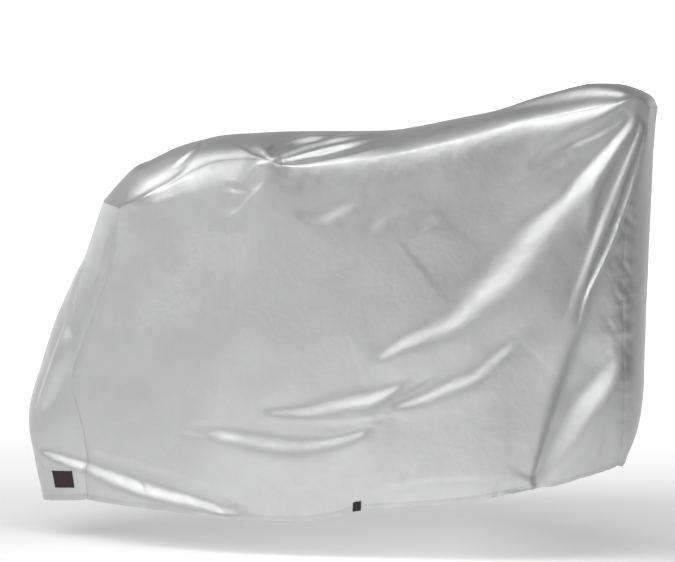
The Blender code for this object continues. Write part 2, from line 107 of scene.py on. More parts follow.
# Creases, as (path of (x, height, half width in mm), slope, shares of its length that it fades in
# and out over, share of it on the right side). The cloth rises towards the right of the path, so
# on a side panel a slope above 0 faces the light and one below 0 turns away, and over the top it
# is the other way round. On a gusset the path's places are measured over the cloth from the seam,
# as if it were unrolled.
CREASES = (
    # The great fold from the corner of the high back down to the slack low in the middle
    (((0.115, 0.558, 15), (0.156, 0.584, 24), (0.203, 0.611, 33), (0.250, 0.634, 42),
      (0.321, 0.661, 52), (0.380, 0.701, 62), (0.435, 0.755, 74), (0.494, 0.810, 82),
      (0.528, 0.847, 84), (0.592, 0.945, 72), (0.652, 1.010, 58), (0.718, 1.082, 46),
      (0.766, 1.140, 36), (0.812, 1.202, 26), (0.848, 1.256, 14)), 0.43, (0.08, 0.015), 0.6),
    (((0.500, 0.935, 50), (0.560, 0.990, 48), (0.629, 1.035, 42), (0.687, 1.096, 32),
      (0.742, 1.154, 21), (0.790, 1.202, 12), (0.833, 1.246, 7)), -0.36, (0.4, 0.05), 0.5),
    (((0.722, 0.910, 12), (0.732, 0.968, 16), (0.752, 1.037, 18), (0.780, 1.100, 16),
      (0.816, 1.166, 11), (0.856, 1.228, 6)), -0.95, (0.35, 0.05), 0.5),
    (((0.646, 0.663, 18), (0.670, 0.707, 20), (0.696, 0.778, 20), (0.717, 0.839, 18),
      (0.743, 0.919, 15), (0.772, 0.996, 13), (0.802, 1.072, 12), (0.838, 1.164, 9),
      (0.866, 1.241, 6)), 0.60, (0.3, 0.05), 0.6),
    (((0.707, 0.754, 6), (0.732, 0.838, 8), (0.757, 0.900, 9), (0.779, 0.950, 9),
      (0.800, 1.005, 9), (0.829, 1.095, 8), (0.855, 1.170, 7), (0.876, 1.240, 5)),
     -1.10, (0.15, 0.05), 0.5),
    (((0.694, 0.668, 5), (0.718, 0.757, 8), (0.747, 0.824, 10), (0.782, 0.906, 10),
      (0.808, 0.980, 10), (0.837, 1.068, 9), (0.858, 1.143, 8), (0.884, 1.250, 5)),
     0.95, (0.1, 0.05), 0.5),
    (((0.706, 0.697, 5), (0.730, 0.768, 6), (0.770, 0.852, 7), (0.795, 0.919, 8),
      (0.822, 0.994, 8), (0.847, 1.074, 7), (0.866, 1.144, 6), (0.906, 1.234, 5)),
     -1.00, (0.12, 0.1), 0.5),
    # Below them, down to the hem near the tail
    (((0.566, 0.217, 11), (0.584, 0.270, 15), (0.607, 0.359, 21), (0.633, 0.444, 26),
      (0.661, 0.542, 30), (0.692, 0.640, 32), (0.730, 0.730, 28), (0.765, 0.812, 20)),
     -0.86, (0.06, 0.25), 0.5),
    (((0.585, 0.212, 22), (0.628, 0.295, 38), (0.674, 0.370, 50), (0.720, 0.446, 54),
      (0.765, 0.520, 48), (0.800, 0.585, 38), (0.828, 0.645, 26)), 0.98, (0.06, 0.24), 0.5),
    (((0.745, 0.300, 12), (0.757, 0.345, 15), (0.770, 0.395, 13)), -0.22, (0.3, 0.4), 0.5),
    # Along the rising top, up to the high back
    (((0.540, 1.085, 14), (0.585, 1.128, 20), (0.673, 1.187, 23), (0.718, 1.214, 19),
      (0.761, 1.242, 14), (0.806, 1.270, 9), (0.843, 1.294, 6)), -0.52, (0.4, 0.05), 0.5),
    (((0.560, 1.122, 10), (0.628, 1.154, 11), (0.690, 1.175, 11), (0.753, 1.196, 9),
      (0.826, 1.245, 5)), 0.26, (0.4, 0.1), 0.5),
    (((0.500, 1.060, 9), (0.560, 1.092, 11), (0.620, 1.122, 10), (0.690, 1.150, 8)),
     -0.22, (0.4, 0.3), 0.5),
    # The top's edge, where it goes over from the side, up to the high back
    (((0.400, 1.335, 12), (0.480, 1.338, 20), (0.550, 1.344, 29), (0.630, 1.350, 34),
      (0.720, 1.346, 31), (0.834, 1.322, 11)), -0.55, (0.35, 0.08), 0.5),
    # Rays from the bump at the top seam
    (((-0.138, 1.129, 4), (-0.070, 1.165, 8), (0.018, 1.203, 12), (0.095, 1.254, 15),
      (0.159, 1.335, 14)), -1.10, (0.05, 0.45), 0.45),
    (((-0.120, 1.126, 4), (-0.060, 1.134, 5), (0.010, 1.150, 7), (0.080, 1.176, 9),
      (0.150, 1.205, 11), (0.230, 1.225, 12)), 0.34, (0.05, 0.4), 0.45),
    (((-0.138, 1.131, 4), (-0.089, 1.189, 8), (-0.012, 1.248, 12), (0.068, 1.292, 15),
      (0.146, 1.345, 14)), -1.00, (0.05, 0.45), 0.45),
    (((-0.140, 1.145, 4), (-0.118, 1.205, 7), (-0.060, 1.262, 9), (0.009, 1.315, 10)),
     0.52, (0.1, 0.4), 0.45),
    (((-0.128, 1.232, 9), (-0.096, 1.268, 14), (-0.050, 1.294, 16), (0.005, 1.312, 13)),
     -0.90, (0.3, 0.4), 0.45),
    (((-0.161, 1.160, 6), (-0.158, 1.195, 9), (-0.149, 1.244, 12)), -0.54, (0.2, 0.3), 0.45),
    (((-0.194, 1.237, 10), (-0.175, 1.200, 8), (-0.165, 1.165, 5)), 0.47, (0.3, 0.2), 0.45),
    (((-0.286, 1.236, 9), (-0.237, 1.202, 9), (-0.197, 1.166, 7), (-0.160, 1.140, 4)),
     0.60, (0.25, 0.1), 0.7),
    (((-0.225, 1.232, 9), (-0.190, 1.196, 12), (-0.162, 1.158, 11), (-0.143, 1.132, 6)),
     -0.50, (0.3, 0.1), 0.8),
    # Below the bump
    (((-0.208, 1.042, 9), (-0.204, 1.068, 11), (-0.183, 1.092, 9), (-0.160, 1.116, 5)),
     -0.57, (0.3, 0.1), 0.7),
    (((-0.289, 0.970, 9), (-0.237, 0.990, 11), (-0.212, 1.016, 10), (-0.177, 1.052, 8),
      (-0.151, 1.092, 5)), 0.49, (0.3, 0.15), 0.7),
    (((-0.291, 1.062, 5), (-0.265, 1.059, 7), (-0.237, 1.055, 5)), -0.41, (0.3, 0.3), 0.5),
    (((-0.280, 1.046, 5), (-0.239, 1.037, 7), (-0.202, 1.033, 6)), 0.43, (0.3, 0.3), 0.5),
    (((-0.120, 0.985, 70), (0.050, 0.970, 90), (0.250, 0.980, 90), (0.450, 1.020, 70)),
     0.10, (0.3, 0.3), 0.5),
    (((-0.106, 0.994, 12), (-0.051, 0.974, 20), (0.005, 0.965, 27), (0.080, 1.003, 24),
      (0.122, 1.032, 16)), 0.20, (0.3, 0.3), 0.5),
    (((0.097, 0.894, 12), (0.118, 0.907, 18), (0.147, 0.948, 20), (0.215, 0.989, 19),
      (0.286, 1.006, 14)), 0.12, (0.3, 0.3), 0.5),
    (((0.216, 0.909, 9), (0.283, 0.940, 11), (0.325, 0.960, 9)), 0.16, (0.3, 0.3), 0.5),
    # Over the front corner
    (((-0.590, 0.996, 10), (-0.553, 1.020, 15), (-0.510, 1.047, 20), (-0.464, 1.072, 21),
      (-0.427, 1.102, 19), (-0.391, 1.133, 14)), 0.50, (0.1, 0.3), 0.7),
    (((-0.470, 1.130, 6), (-0.440, 1.158, 8), (-0.415, 1.190, 9), (-0.398, 1.238, 9),
      (-0.393, 1.295, 7)), -0.62, (0.25, 0.12), 0.7),
    (((-0.590, 1.170, 6), (-0.560, 1.190, 8), (-0.517, 1.211, 11), (-0.454, 1.236, 10)),
     0.55, (0.2, 0.2), 0.4),
    (((-0.581, 0.990, 9), (-0.491, 1.013, 13), (-0.407, 1.036, 13), (-0.320, 1.050, 10)),
     0.12, (0.2, 0.4), 0.7),
    # Slack low in the middle
    (((-0.205, 0.420, 12), (-0.090, 0.424, 26), (-0.033, 0.430, 35), (0.047, 0.445, 42),
      (0.110, 0.458, 42), (0.139, 0.466, 34), (0.203, 0.498, 20), (0.250, 0.534, 13)),
     0.46, (0.15, 0.15), 0.5),
    (((-0.113, 0.405, 6), (-0.034, 0.398, 8), (0.063, 0.397, 9), (0.156, 0.415, 8),
      (0.236, 0.428, 6)), -0.27, (0.3, 0.3), 0.5),
    (((0.197, 0.467, 6), (0.276, 0.515, 8), (0.323, 0.548, 7)), 0.27, (0.3, 0.4), 0.5),
    (((-0.400, 0.350, 22), (-0.300, 0.346, 32), (-0.220, 0.338, 38), (-0.156, 0.328, 42),
      (-0.075, 0.327, 42), (0.005, 0.338, 38), (0.087, 0.361, 28), (0.146, 0.390, 18)),
     0.48, (0.22, 0.10), 0.5),
    (((-0.050, 0.358, 7), (0.015, 0.360, 9), (0.093, 0.382, 9), (0.156, 0.407, 7)),
     -0.24, (0.3, 0.3), 0.5),
    (((-0.440, 0.354, 8), (-0.361, 0.344, 8), (-0.321, 0.338, 6)), -0.27, (0.3, 0.3), 0.5),
    (((-0.440, 0.362, 12), (-0.333, 0.378, 14), (-0.212, 0.383, 12)), -0.14, (0.3, 0.4), 0.5),
    (((0.180, 0.436, 14), (0.283, 0.470, 28), (0.359, 0.505, 36), (0.423, 0.538, 36),
      (0.474, 0.580, 34), (0.529, 0.628, 32), (0.594, 0.696, 26)), 0.46, (0.08, 0.30), 0.5),
    # Across the foot of the nose
    (((-0.926, 0.262, 12), (-0.868, 0.252, 18), (-0.810, 0.240, 23), (-0.723, 0.217, 29),
      (-0.622, 0.194, 33), (-0.525, 0.174, 33), (-0.402, 0.152, 29), (-0.296, 0.133, 24),
      (-0.184, 0.126, 16)), 0.64, (0.06, 0.15), 0.5),
    (((-0.821, 0.275, 8), (-0.709, 0.265, 10), (-0.603, 0.248, 12), (-0.470, 0.224, 12),
      (-0.371, 0.205, 12), (-0.247, 0.181, 10)), -0.22, (0.2, 0.3), 0.5),
    (((-0.915, 0.225, 8), (-0.882, 0.196, 8)), 0.34, (0.3, 0.3), 0.5),
    (((-0.345, 0.182, 5), (-0.322, 0.152, 7), (-0.292, 0.126, 5)), -0.55, (0.3, 0.3), 0.5),
    (((-0.308, 0.172, 5), (-0.272, 0.152, 6), (-0.232, 0.142, 5)), 0.50, (0.3, 0.3), 0.5),
    (((-0.250, 0.166, 5), (-0.262, 0.142, 6), (-0.250, 0.120, 4)), -0.50, (0.3, 0.3), 0.5),
    (((-0.566, 0.206, 5), (-0.545, 0.186, 6), (-0.528, 0.160, 4)), -0.40, (0.3, 0.3), 0.5),
    (((-0.430, 0.184, 5), (-0.412, 0.162, 6), (-0.380, 0.140, 4)), 0.38, (0.3, 0.3), 0.5),
    # Down the nose
    (((-0.923, 0.377, 9), (-0.888, 0.457, 13), (-0.856, 0.532, 14), (-0.829, 0.607, 12),
      (-0.814, 0.658, 8)), 0.75, (0.25, 0.2), 0.6),
    (((-0.913, 0.354, 12), (-0.860, 0.432, 22), (-0.811, 0.511, 28), (-0.790, 0.574, 24),
      (-0.789, 0.660, 12)), -0.50, (0.2, 0.2), 0.5),
    (((-0.779, 0.660, 6), (-0.784, 0.707, 7), (-0.783, 0.743, 6)), 0.34, (0.3, 0.3), 0.6),
    (((-0.807, 0.683, 8), (-0.800, 0.754, 12), (-0.769, 0.824, 10)), -0.27, (0.3, 0.3), 0.6),
    (((-0.705, 0.664, 14), (-0.677, 0.764, 18), (-0.659, 0.856, 18), (-0.627, 0.947, 12)),
     -0.22, (0.3, 0.2), 0.6),
    # Above the hem behind the tab
    (((0.129, 0.203, 8), (0.202, 0.222, 10), (0.282, 0.242, 10), (0.398, 0.252, 10),
      (0.514, 0.253, 8)), -0.19, (0.3, 0.3), 0.5),
    (((0.482, 0.212, 6), (0.534, 0.213, 8), (0.595, 0.226, 6)), 0.41, (0.3, 0.3), 0.5),
)

# What a seam does to the cloth beside it: how far it pulls it in and over what distance, the dip
# at its stitches, the height of its puckers and a number that sets their pattern, and the places
# (x along the top, else the height) where all this fades out, since three panels meet there
SEAMS = {
    "top": {"pull": 0.020, "over": 0.095, "dip": 0.0003, "pucker": 0.0002, "pattern": 2.2,
            "ends": (-0.60, 0.86)},
    "front": {"pull": 0.005, "over": 0.040, "dip": 0.0007, "pucker": 0.0010, "pattern": 7.4,
              "ends": (0.05, 0.98)},
    "rear": {"pull": 0.005, "over": 0.035, "dip": 0.0006, "pucker": 0.0016, "pattern": 4.7,
             "ends": (0.20, 1.26)},
}
DIP_WIDTH = 0.004
PUCKER_PITCH = 0.016
PUCKER_REACH = 0.022

# The slanting crumple beside the rear seam, between two heights
CRUMPLE = 0.0030
CRUMPLE_FROM, CRUMPLE_TO = 0.5, 1.1
CRUMPLE_REACH = 0.055
CRUMPLE_SIZE = (0.017, 0.042)
CRUMPLE_SLANT = 0.6

# Low unevenness all over, as (height, size of its lumps, where its pattern starts)
UNEVEN = ((0.0010, 0.090, 0.0), (0.0003, 0.028, 3.1))

# Gathers round the turned-up hem
HEM_GATHERS = 0.0020
GATHER_PITCH = 0.017


def smooth_line(rows, shares):
    """Points at these shares of the length of a smooth line through the rows."""
    knots = np.array(rows, float)
    ends = np.vstack([2 * knots[0] - knots[1], knots, 2 * knots[-1] - knots[-2]])
    steps = np.linspace(0, 1, 24, endpoint=False)[:, None]
    dense = []
    for before, start, end, after in zip(ends, ends[1:], ends[2:], ends[3:]):
        square = (2 * before - 5 * start + 4 * end - after) * steps**2
        cube = (3 * start - before - 3 * end + after) * steps**3
        dense.append(0.5 * (2 * start + (end - before) * steps + square + cube))
    dense = np.vstack(dense + [knots[-1:]])
    run = np.r_[0, np.cumsum(np.linalg.norm(np.diff(dense, axis=0), axis=1))]
    return np.column_stack([np.interp(shares, run / run[-1], axis) for axis in dense.T])


def seam(rows, shares):
    """The left seam line as x, y, z."""
    return smooth_line(rows, shares) * (1, -1, 1)


def side_panel(along, up):
    """The left side, stretched smoothly between its four seam lines."""
    ends = np.array([0.0, 1.0])
    hem, top = seam(HEM, along)[:, None], seam(TOP_SEAM, along)[:, None]
    front, rear = seam(FRONT_SEAM, up)[None], seam(REAR_SEAM, up)[None]
    hem_ends, top_ends = seam(HEM, ends), seam(TOP_SEAM, ends)
    s, t = along[:, None, None], up[None, :, None]
    front_chord = (1 - t) * hem_ends[0] + t * top_ends[0]
    rear_chord = (1 - t) * hem_ends[1] + t * top_ends[1]
    return (1 - t) * hem + t * top + (1 - s) * (front - front_chord) + s * (rear - rear_chord)


def gusset(rows, centre, run, across, roundness):
    """A strip that arches from the left seam line over the centre line to the right one."""
    edge = seam(rows, run)[:, None]
    middle = smooth_line(centre, run)[:, None]
    arch = 1 - np.abs(across)[None, :] ** np.broadcast_to(roundness, run.shape)[:, None]
    x = edge[..., 0] + (middle[..., 0] - edge[..., 0]) * arch
    z = edge[..., 2] + (middle[..., 1] - edge[..., 2]) * arch
    return np.stack([x, -edge[..., 1] * across[None, :], z], axis=-1)


def ease(value):
    """Smoothly from 0 to 1."""
    share = np.clip(value, 0, 1)
    return share * share * (3 - 2 * share)


def outward(panels):
    """Each point's normal, one and the same where the edges of two panels meet."""
    own, rims, meeting = {}, {}, {}
    for name, points in panels.items():
        normal = np.cross(np.gradient(points, axis=0), np.gradient(points, axis=1))
        own[name] = normal / np.linalg.norm(normal, axis=-1, keepdims=True)
        rim = np.ones(points.shape[:2], bool)
        rim[1:-1, 1:-1] = False
        rims[name] = rim
        for place, value in zip(np.round(points[rim], 6) + 0.0, own[name][rim]):
            meeting[tuple(place)] = meeting.get(tuple(place), 0) + value
    for name, points in panels.items():
        sums = np.array([meeting[tuple(place)] for place in np.round(points[rims[name]], 6) + 0.0])
        own[name][rims[name]] = sums / np.linalg.norm(sums, axis=-1, keepdims=True)
    return own


def bulge_heights(points):
    """How far what is under the cloth pushes it out at these points."""
    heights = np.zeros(points.shape[:-1])
    for x, height, along, up, out in BULGES:
        apart = ((points[..., 0] - x) / along) ** 2 + ((points[..., 2] - height) / up) ** 2
        heights += out * np.exp(-apart)
    return heights


def run_along(points, axis):
    """How far each point lies from the first edge, over the cloth."""
    steps = np.linalg.norm(np.diff(points, axis=axis), axis=-1)
    return np.concatenate([np.zeros_like(np.take(steps, [0], axis)), np.cumsum(steps, axis)], axis)


CREASE_REACH = 5.0  # in its own half widths


def nearest_on(line, points, reach):
    """For points near a line: which they are, how far, at what share of it, and which way."""
    low, high = line[:, :3].min(0) - reach, line[:, :3].max(0) + reach
    around = np.flatnonzero(np.all((points > low) & (points < high), axis=1))
    points = points[around]
    distance = np.full(len(points), np.inf)
    share_of_line = np.zeros(len(points))
    offset, course = np.zeros((len(points), 3)), np.zeros((len(points), 3))
    for index, (start, end) in enumerate(zip(line, line[1:])):
        low, high = np.minimum(start, end) - reach, np.maximum(start, end) + reach
        near = np.flatnonzero(np.all((points > low) & (points < high), axis=1))
        run = end - start
        share = np.clip((points[near] - start) @ run / (run @ run), 0, 1)
        apart = points[near] - start - share[:, None] * run
        length = np.linalg.norm(apart, axis=1)
        closer = length < distance[near]
        chosen = near[closer]
        distance[chosen] = length[closer]
        share_of_line[chosen] = (index + share[closer]) / (len(line) - 1)
        offset[chosen] = apart[closer]
        course[chosen] = run
    found = np.isfinite(distance)
    return around[found], distance[found], share_of_line[found], offset[found], course[found]


def crease_heights(points, normals, mirrored):
    """How far the creases push the cloth out at these points, on the left or mirrored there."""
    heights = np.zeros(len(points))
    for (line, half_widths), (_, slope, fades, right_share) in zip(crease_lines, CREASES):
        reach = CREASE_REACH * half_widths.max()
        near, distance, share, offset, course = nearest_on(line, points, reach)
        rightward = np.cross(course, normals[near])
        side = np.sign(np.einsum("ij,ij->i", rightward, offset))
        width = np.interp(share, np.linspace(0, 1, len(half_widths)), half_widths)
        part = distance / width
        strength = ease(share / fades[0]) * ease((1 - share) / fades[1])
        dying = np.clip(1 - (part / CREASE_REACH) ** 2, 0, 1) ** 2
        height = side * slope * width * part / (1 + part**2) * dying * strength
        heights[near] += height * (right_share if mirrored else 1)
    return heights


LATTICE = np.random.default_rng(11).uniform(-1, 1, (32, 32, 32))


def rumple(points, size):
    """Soft uneven heights from -1 to 1, with lumps of about this size."""
    place = points / np.asarray(size, float) + 16
    cell = np.floor(place).astype(int)
    share = ease(place - cell)
    total = np.zeros(points.shape[:-1])
    for corner in itertools.product((0, 1), repeat=3):
        weight = np.prod(np.where(corner, share, 1 - share), axis=-1)
        x, y, z = np.moveaxis((cell + corner) % 32, -1, 0)
        total += weight * LATTICE[x, y, z]
    return total


def grid_lines(even, from_edge):
    """Shares from 0 to 1, with closer lines at both ends, and an odd number of them."""
    inside = even[(even > from_edge[-1] * 1.5) & (even < 1 - from_edge[-1] * 1.5)]
    lines = np.r_[0, from_edge, inside, 1 - np.array(from_edge[::-1]), 1]
    return lines if len(lines) % 2 else np.delete(lines, len(lines) // 2)


def closed_sheet(name, outer, inner, flat_places, hem_share, material):
    """A thin closed sheet: a fine outer skin, and an inner one with every second grid line."""
    inner = inner[::2, ::2]
    rows, columns = outer.shape[:2]
    number = np.arange(rows * columns).reshape(rows, columns)
    under = number.size + np.arange(inner.shape[0] * inner.shape[1]).reshape(inner.shape[:2])
    faces = []
    for grid, order in ((number, 1), (under, -1)):
        a, b, c, d = grid[:-1, :-1], grid[1:, :-1], grid[1:, 1:], grid[:-1, 1:]
        faces += np.stack([a, b, c, d][::order], -1).reshape(-1, 4).tolist()
    for edge, inner_edge in (
        (number[:, 0][::-1], under[:, 0][::-1]),
        (number[0], under[0]),
        (number[:, -1], under[:, -1]),
        (number[-1][::-1], under[-1][::-1]),
    ):
        for step in range(len(inner_edge) - 1):
            first, middle, last = edge[2 * step : 2 * step + 3]
            corners = first, middle, last, inner_edge[step + 1], inner_edge[step]
            faces.append([int(corner) for corner in corners])
    mesh = bpy.data.meshes.new(name)
    corners = np.concatenate([outer.reshape(-1, 3), inner.reshape(-1, 3)])
    mesh.from_pydata(corners - (0, 0, HELD_HEIGHT), [], faces)
    mesh.shade_smooth()
    mesh.set_sharp_from_angle(angle=np.radians(SHARP_EDGE))
    flat_places, hem_share = (
        np.concatenate([part.reshape(-1, part.shape[-1]) for part in (grid, grid[::2, ::2])])
        .astype(np.float32) for grid in (flat_places, hem_share[..., None])
    )
    corner_of = np.empty(len(mesh.loops), np.int64)
    mesh.loops.foreach_get("vertex_index", corner_of)
    mesh.uv_layers.new(name="UVMap").data.foreach_set("uv", flat_places[corner_of].ravel())
    mesh.attributes.new("hem", "FLOAT", "POINT").data.foreach_set("value", hem_share.ravel())
    mesh.materials.append(material)
    piece = bpy.data.objects.new(name, mesh)
    bpy.context.scene.collection.objects.link(piece)
    return piece


def shader(holder):
    """The shader of a material or a sky, a function that adds a node, and one that joins two."""
    holder.use_nodes = True
    nodes, links = holder.node_tree.nodes, holder.node_tree.links

    def add(kind, **settings):
        node = nodes.new("ShaderNode" + kind)
        for key, value in settings.items():
            if hasattr(node, key):
                setattr(node, key, value)
            else:
                node.inputs[key.replace("_", " ")].default_value = value
        return node

    return nodes.get("Principled BSDF") or nodes["Background"], add, links.new


def two_tones(add, join, share, first, second):
    """A colour that runs from one (share, colour) to the other."""
    tint = add("ValToRGB")
    for element, (place, colour) in zip(tint.color_ramp.elements, (first, second)):
        element.position, element.color = place, colour
    join(share, tint.inputs["Fac"])
    return tint.outputs["Color"]


def speckle(add, join, place, **settings):
    """Soft noise over the piece."""
    noise = add("TexNoise", **settings)
    join(place, noise.inputs["Vector"])
    return noise.outputs["Fac"]


def raised(add, join, height, **settings):
    """Low relief by a height."""
    bump = add("Bump", **settings)
    join(height, bump.inputs["Height"])
    return bump


def silver_coating():
    """Satin silver coating on thin plain-woven polyester, a little darker where it is doubled."""
    material = bpy.data.materials.new("silver_cloth")
    surface, add, join = shader(material)
    surface.inputs["Metallic"].default_value = 0.85
    place = add("TexCoord").outputs["Object"]
    tint = two_tones(add, join, speckle(add, join, place, Scale=7.0, Detail=4.0, Roughness=0.55),
                     (0.36, (0.632, 0.638, 0.634, 1)), (0.64, (0.672, 0.673, 0.676, 1)))
    hem = add("Attribute", attribute_name="hem")
    doubled = add("Mix", data_type="RGBA", blend_type="MULTIPLY")
    join(hem.outputs["Fac"], doubled.inputs[0])
    join(tint, doubled.inputs[6])
    doubled.inputs[7].default_value = (0.94, 0.94, 0.95, 1)
    join(doubled.outputs[2], surface.inputs["Base Color"])
    rough = add("MapRange", From_Min=0.3, From_Max=0.7, To_Min=0.50, To_Max=0.58)
    join(speckle(add, join, place, Scale=38.0, Detail=3.0, Roughness=0.6), rough.inputs["Value"])
    join(rough.outputs["Result"], surface.inputs["Roughness"])
    crumpled = speckle(add, join, place, Scale=55.0, Detail=3.0, Roughness=0.6)
    grain = speckle(add, join, place, Scale=420.0, Detail=2.0, Roughness=0.5)
    soft = raised(add, join, crumpled, Strength=0.20, Distance=0.004)
    fine = raised(add, join, grain, Strength=0.35, Distance=0.0006)
    join(soft.outputs["Normal"], fine.inputs["Normal"])
    join(fine.outputs["Normal"], surface.inputs["Normal"])
    return material


ridge = smooth_line(RIDGE, np.linspace(0, 1, 400))
RIDGE_TO_MOUNT = 0.0016
HELD_HEIGHT = float(np.interp(0, ridge[:, 0], ridge[:, 1])) - RIDGE_TO_MOUNT

# Grid lines along the seams, closest at the high back, across the gussets and up
along = np.interp(np.linspace(0, 1, 386), [0, 0.08, 0.38, 0.62, 1], [0, 0.10, 0.40, 0.76, 1])
along = grid_lines(along, [0.0010, 0.0020, 0.0030, 0.0045])
up = grid_lines(np.linspace(0, 1, 176), [0.0018, 0.0036, 0.0056, 0.0080])
up = np.unique(np.r_[up, 0.0118, 0.0136, 0.0154, 0.0172])  # closer at the top of the hem too
up = up if len(up) % 2 else np.delete(up, 40)
across = grid_lines(np.linspace(0, 1, 92), [0.003, 0.006, 0.009, 0.013]) * 2 - 1

top_roundness = np.interp(along, [0, 0.12, 0.60, 0.78, 1],
                          [NOSE_ROUNDNESS, TOP_ROUNDNESS, TOP_ROUNDNESS, 2.6, TAIL_ROUNDNESS])
left = side_panel(along, up)
smooth = {
    "side_left": left,
    "side_right": left[::-1] * (1, -1, 1),
    "top_gusset": gusset(TOP_SEAM, RIDGE, along, across, top_roundness),
    "front_gusset": gusset(FRONT_SEAM, NOSE, up, across, NOSE_ROUNDNESS),
    "rear_gusset": gusset(REAR_SEAM, TAIL, up, across, TAIL_ROUNDNESS)[:, ::-1],
}
smooth_normals = outward(smooth)

# Where the panels' points lie when the cloth is unrolled round its left seams
top, front, rear = smooth["top_gusset"], smooth["front_gusset"], smooth["rear_gusset"][:, ::-1]
unrolled = np.concatenate([
    left[..., [0, 2]].reshape(-1, 2),
    np.stack([top[..., 0], top[:, :1, 2] + run_along(top, 1)], -1).reshape(-1, 2),
    np.stack([front[:, :1, 0] - run_along(front, 1), front[..., 2]], -1).reshape(-1, 2),
    np.stack([rear[:, :1, 0] + run_along(rear, 1), rear[..., 2]], -1).reshape(-1, 2),
])
in_space = np.concatenate([grid.reshape(-1, 3) for grid in (left, top, front, rear)])


def on_cloth(path):
    """A smooth line over the cloth through these unrolled places, and its half widths."""
    rows = np.array(path)
    knots = [in_space[np.argmin(((unrolled - place) ** 2).sum(1))] for place in rows[:, :2]]
    knots = np.column_stack([knots, rows[:, 2] / 1000])
    length = np.linalg.norm(np.diff(knots[:, :3], axis=0), axis=1).sum()
    line = smooth_line(knots, np.linspace(0, 1, max(8, int(length / 0.012))))
    return line[:, :3], line[:, 3]


crease_lines = [on_cloth(crease[0]) for crease in CREASES]


def pucker(run, away, pitch, reach, seed):
    """Small uneven gathers beside a seam, dying away over the cloth."""
    place = np.stack([run / pitch, away / (4 * pitch), np.full_like(run, seed)], -1)
    gathers = rumple(place, 1.0) + 0.5 * rumple(place * (1.9, 1, 1) + 5.3, 1.0)
    return gathers * np.exp(-away / reach)


def seams_beside(name, points, normals):
    """The panel's seams: how far each point is from one, where along it, and the normals there."""
    first, second = run_along(points, 0), run_along(points, 1)
    if name.startswith("side"):
        front, rear = (first, normals[:1]), (first[-1:] - first, normals[-1:])
        if name == "side_right":
            front, rear = rear, front
        return {"front": (front[0], points[..., 2], front[1]),
                "rear": (rear[0], points[..., 2], rear[1]),
                "top": (second[:, -1:] - second, points[..., 0], normals[:, -1:])}
    kind = name.split("_")[0]
    rim = np.where((across < 0)[None, :, None], normals[:, :1], normals[:, -1:])
    place_on_seam = points[..., 0 if kind == "top" else 2]
    return {kind: (np.minimum(second, second[:, -1:] - second), place_on_seam, rim)}


panels = {}
for name, points in smooth.items():
    flat = points.reshape(-1, 3)
    normals = smooth_normals[name].reshape(-1, 3)
    height = crease_heights(flat, normals, False)
    height += crease_heights(flat * (1, -1, 1), normals * (1, -1, 1), True)
    height = height.reshape(points.shape[:2])
    height += bulge_heights(points) * ease(np.abs(across) if "gusset" in name else 1.0)
    height += sum(high * rumple(points + start, size) for high, size, start in UNEVEN)
    turned = smooth_normals[name].copy()
    for kind, (away, run, rim) in seams_beside(name, points, turned).items():
        seam_of = SEAMS[kind]
        from_ends = np.minimum(run - seam_of["ends"][0], seam_of["ends"][1] - run)
        inside = ease(from_ends / 0.04)
        pull, over = seam_of["pull"], seam_of["over"]
        if kind == "top":  # tighter towards the high back
            tighter = 1 - 0.5 * ease((run - 0.25) / 0.45)
            pull, over = pull * tighter, over * tighter
        nearness = np.clip(1 - away / over, 0, 1)
        height -= pull * nearness**2 * ease(from_ends / 0.12)
        share = (ease(nearness) * 0.999)[..., None]
        turned = turned * (1 - share) + rim * share
        height -= seam_of["dip"] * np.exp(-((away / DIP_WIDTH) ** 2)) * inside
        gathers = pucker(run, away, PUCKER_PITCH, PUCKER_REACH, seam_of["pattern"])
        height += inside * seam_of["pucker"] * gathers
        if kind == "rear":
            x, z = points[..., 0], points[..., 2]
            slanting = [x + CRUMPLE_SLANT * z, z - CRUMPLE_SLANT * x, np.full_like(x, 1.3)]
            between = ease((z - CRUMPLE_FROM) / 0.15) * ease((CRUMPLE_TO - z) / 0.15)
            height += (CRUMPLE * between * np.exp(-((away / CRUMPLE_REACH) ** 2))
                       * rumple(np.stack(slanting, -1), (*CRUMPLE_SIZE, 1.0)))

    # The hem is doubled cloth with a row of stitches, and gathers a little
    hem_share = np.zeros(points.shape[:2])
    if name != "top_gusset":
        from_hem = run_along(points, 1 if name.startswith("side") else 0)
        hem_share = 1 - ease((from_hem - HEM_WIDTH + 0.001) / 0.002)
        height += HEM_THICKER * hem_share
        height -= STITCHES_DRAW * np.exp(-(((from_hem - FROM_HEM) / 0.0012) ** 2))
        round_hem = points[..., 0] + 0.4 * points[..., 1]
        height += HEM_GATHERS * pucker(round_hem, from_hem, GATHER_PITCH, PUCKER_REACH, 9.6)
    turned /= np.linalg.norm(turned, axis=-1, keepdims=True)
    panels[name] = {"points": points + turned * height[..., None], "hem": hem_share,
                    "normals": turned}

